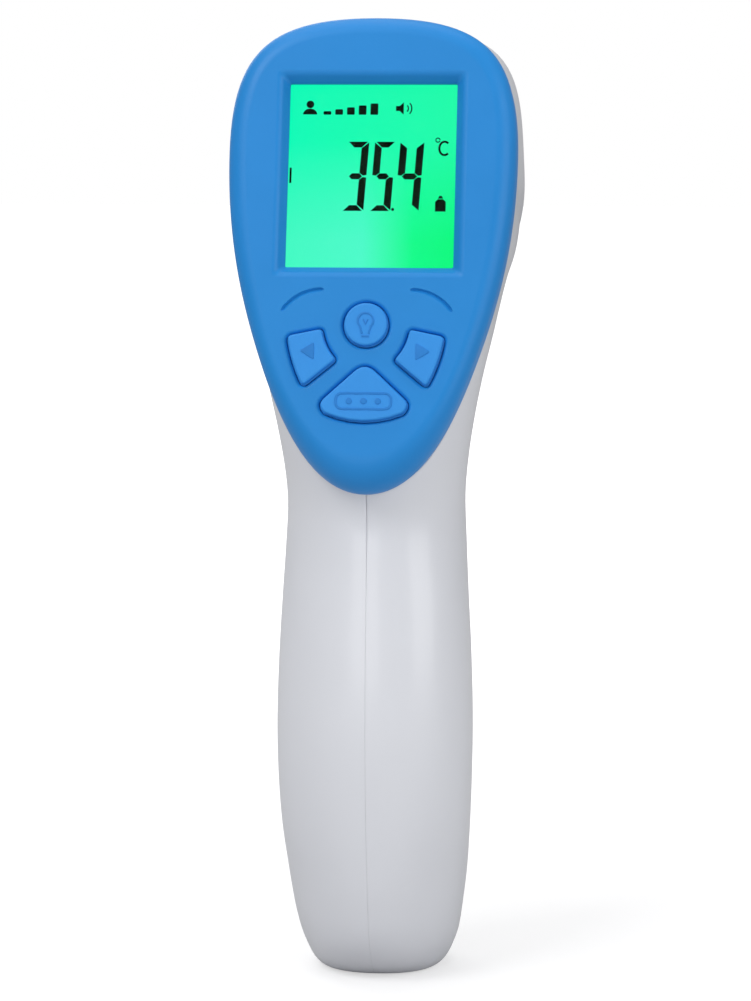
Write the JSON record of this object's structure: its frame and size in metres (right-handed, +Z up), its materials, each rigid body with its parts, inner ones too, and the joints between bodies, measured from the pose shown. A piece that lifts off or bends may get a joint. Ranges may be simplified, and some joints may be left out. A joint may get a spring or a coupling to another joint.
{
  "type": "digital thermometer",
  "caption": "Gun-type infrared thermometer with a tilted rear display and key pad, a finger trigger, a sensor nose and a hinged battery door in the grip.",
  "frame": {"origin": "middle of the flat butt of the grip", "axes": "+Z up the grip towards the display, +Y along the barrel towards the sensor, -Y towards the user, +X to the user's right"},
  "size_m": [0.0464, 0.086, 0.1574],
  "materials": {
    "shell_white": "pearly light grey, satin gloss",
    "bezel_blue": "mid blue moulded plastic, fine satin texture",
    "key_blue": "soft-touch blue key pad",
    "clear_window": "clear flat lens",
    "lcd_green": "reflective display glass, lit green",
    "diffuser_white": "milky light guide",
    "black_plastic": "moulded black plastic",
    "chip_black": "black package or insulation",
    "board_green": "green solder mask on glass-fibre board",
    "bright_steel": "plated steel",
    "reflector_chrome": "polished aluminium cone",
    "cell_wrap": null,
    "lead_red": "red wire insulation"
  },
  "bodies": {
    "housing": {"battery_1": "cell_wrap", "battery_2": "cell_wrap", "battery_door_pin": "bright_steel", "battery_tray": "black_plastic", "board_screw_1": "bright_steel", "board_screw_2": "bright_steel", "board_screw_3": "bright_steel", "board_screw_4": "bright_steel", "buzzer": "chip_black", "case_screw_1": "bright_steel", "case_screw_2": "bright_steel", "case_screw_3": "bright_steel", "case_screw_4": "bright_steel", "case_screw_5": "bright_steel", "case_screw_6": "bright_steel", "contact_plate_1": "bright_steel", "contact_plate_2": "bright_steel", "contact_spring_1": "bright_steel", "contact_spring_2": "bright_steel", "controller_chip": "chip_black", "display_window": "clear_window", "lcd_backlight": "diffuser_white", "lcd_frame": "black_plastic", "lcd_glass": "lcd_green", "lead_black": "chip_black", "lead_red": "lead_red", "left_housing": "shell_white", "main_board": "board_green", "nose_ring": "bezel_blue", "rear_bezel": "bezel_blue", "right_housing": "shell_white", "sensor_board": "board_green", "sensor_cable": "chip_black", "sensor_holder": "black_plastic", "sensor_reflector": "reflector_chrome", "switch_lamp": "bright_steel", "switch_left": "bright_steel", "switch_mode": "bright_steel", "switch_right": "bright_steel", "thermopile_sensor": "bright_steel", "trigger_board": "board_green", "trigger_pin": "bright_steel", "trigger_spring": "bright_steel", "trigger_switch": "chip_black"},
    "lamp_key": {"key_lamp": "key_blue", "plunger_lamp": "black_plastic"},
    "left_key": {"key_left": "key_blue", "plunger_left": "black_plastic"},
    "right_key": {"key_right": "key_blue", "plunger_right": "black_plastic"},
    "mode_key": {"key_mode": "key_blue", "plunger_mode": "black_plastic"},
    "trigger_lever": {"trigger": "bezel_blue", "trigger_plunger": "black_plastic"},
    "door": {"battery_door": "shell_white"}
  },
  "joints": [
    {"name": "lamp_key_press", "type": "slide", "parent": "housing", "child": "lamp_key", "axis": [0, 0.9659, -0.2588], "range_m": [0, 0.0006], "stiffness_N_per_m": 20, "springref_m": -0.003},
    {"name": "left_key_press", "type": "slide", "parent": "housing", "child": "left_key", "axis": [0, 0.9659, -0.2588], "range_m": [0, 0.0006], "stiffness_N_per_m": 20, "springref_m": -0.003},
    {"name": "right_key_press", "type": "slide", "parent": "housing", "child": "right_key", "axis": [0, 0.9659, -0.2588], "range_m": [0, 0.0006], "stiffness_N_per_m": 20, "springref_m": -0.003},
    {"name": "mode_key_press", "type": "slide", "parent": "housing", "child": "mode_key", "axis": [0, 0.9659, -0.2588], "range_m": [0, 0.0006], "stiffness_N_per_m": 20, "springref_m": -0.003},
    {"name": "trigger_pull", "type": "hinge", "parent": "housing", "child": "trigger_lever", "pos_m": [0, 0.0033, 0.1045], "axis": [-1, 0, 0], "range_deg": [0, 8], "stiffness_Nm_per_rad": 0.02, "springref_deg": -22.92, "deforming": ["trigger_spring"]},
    {"name": "battery_door_swing", "type": "hinge", "parent": "housing", "child": "door", "pos_m": [0, 0.008, 0.0113], "axis": [-1, 0, 0], "range_deg": [0, 90]}
  ]
}
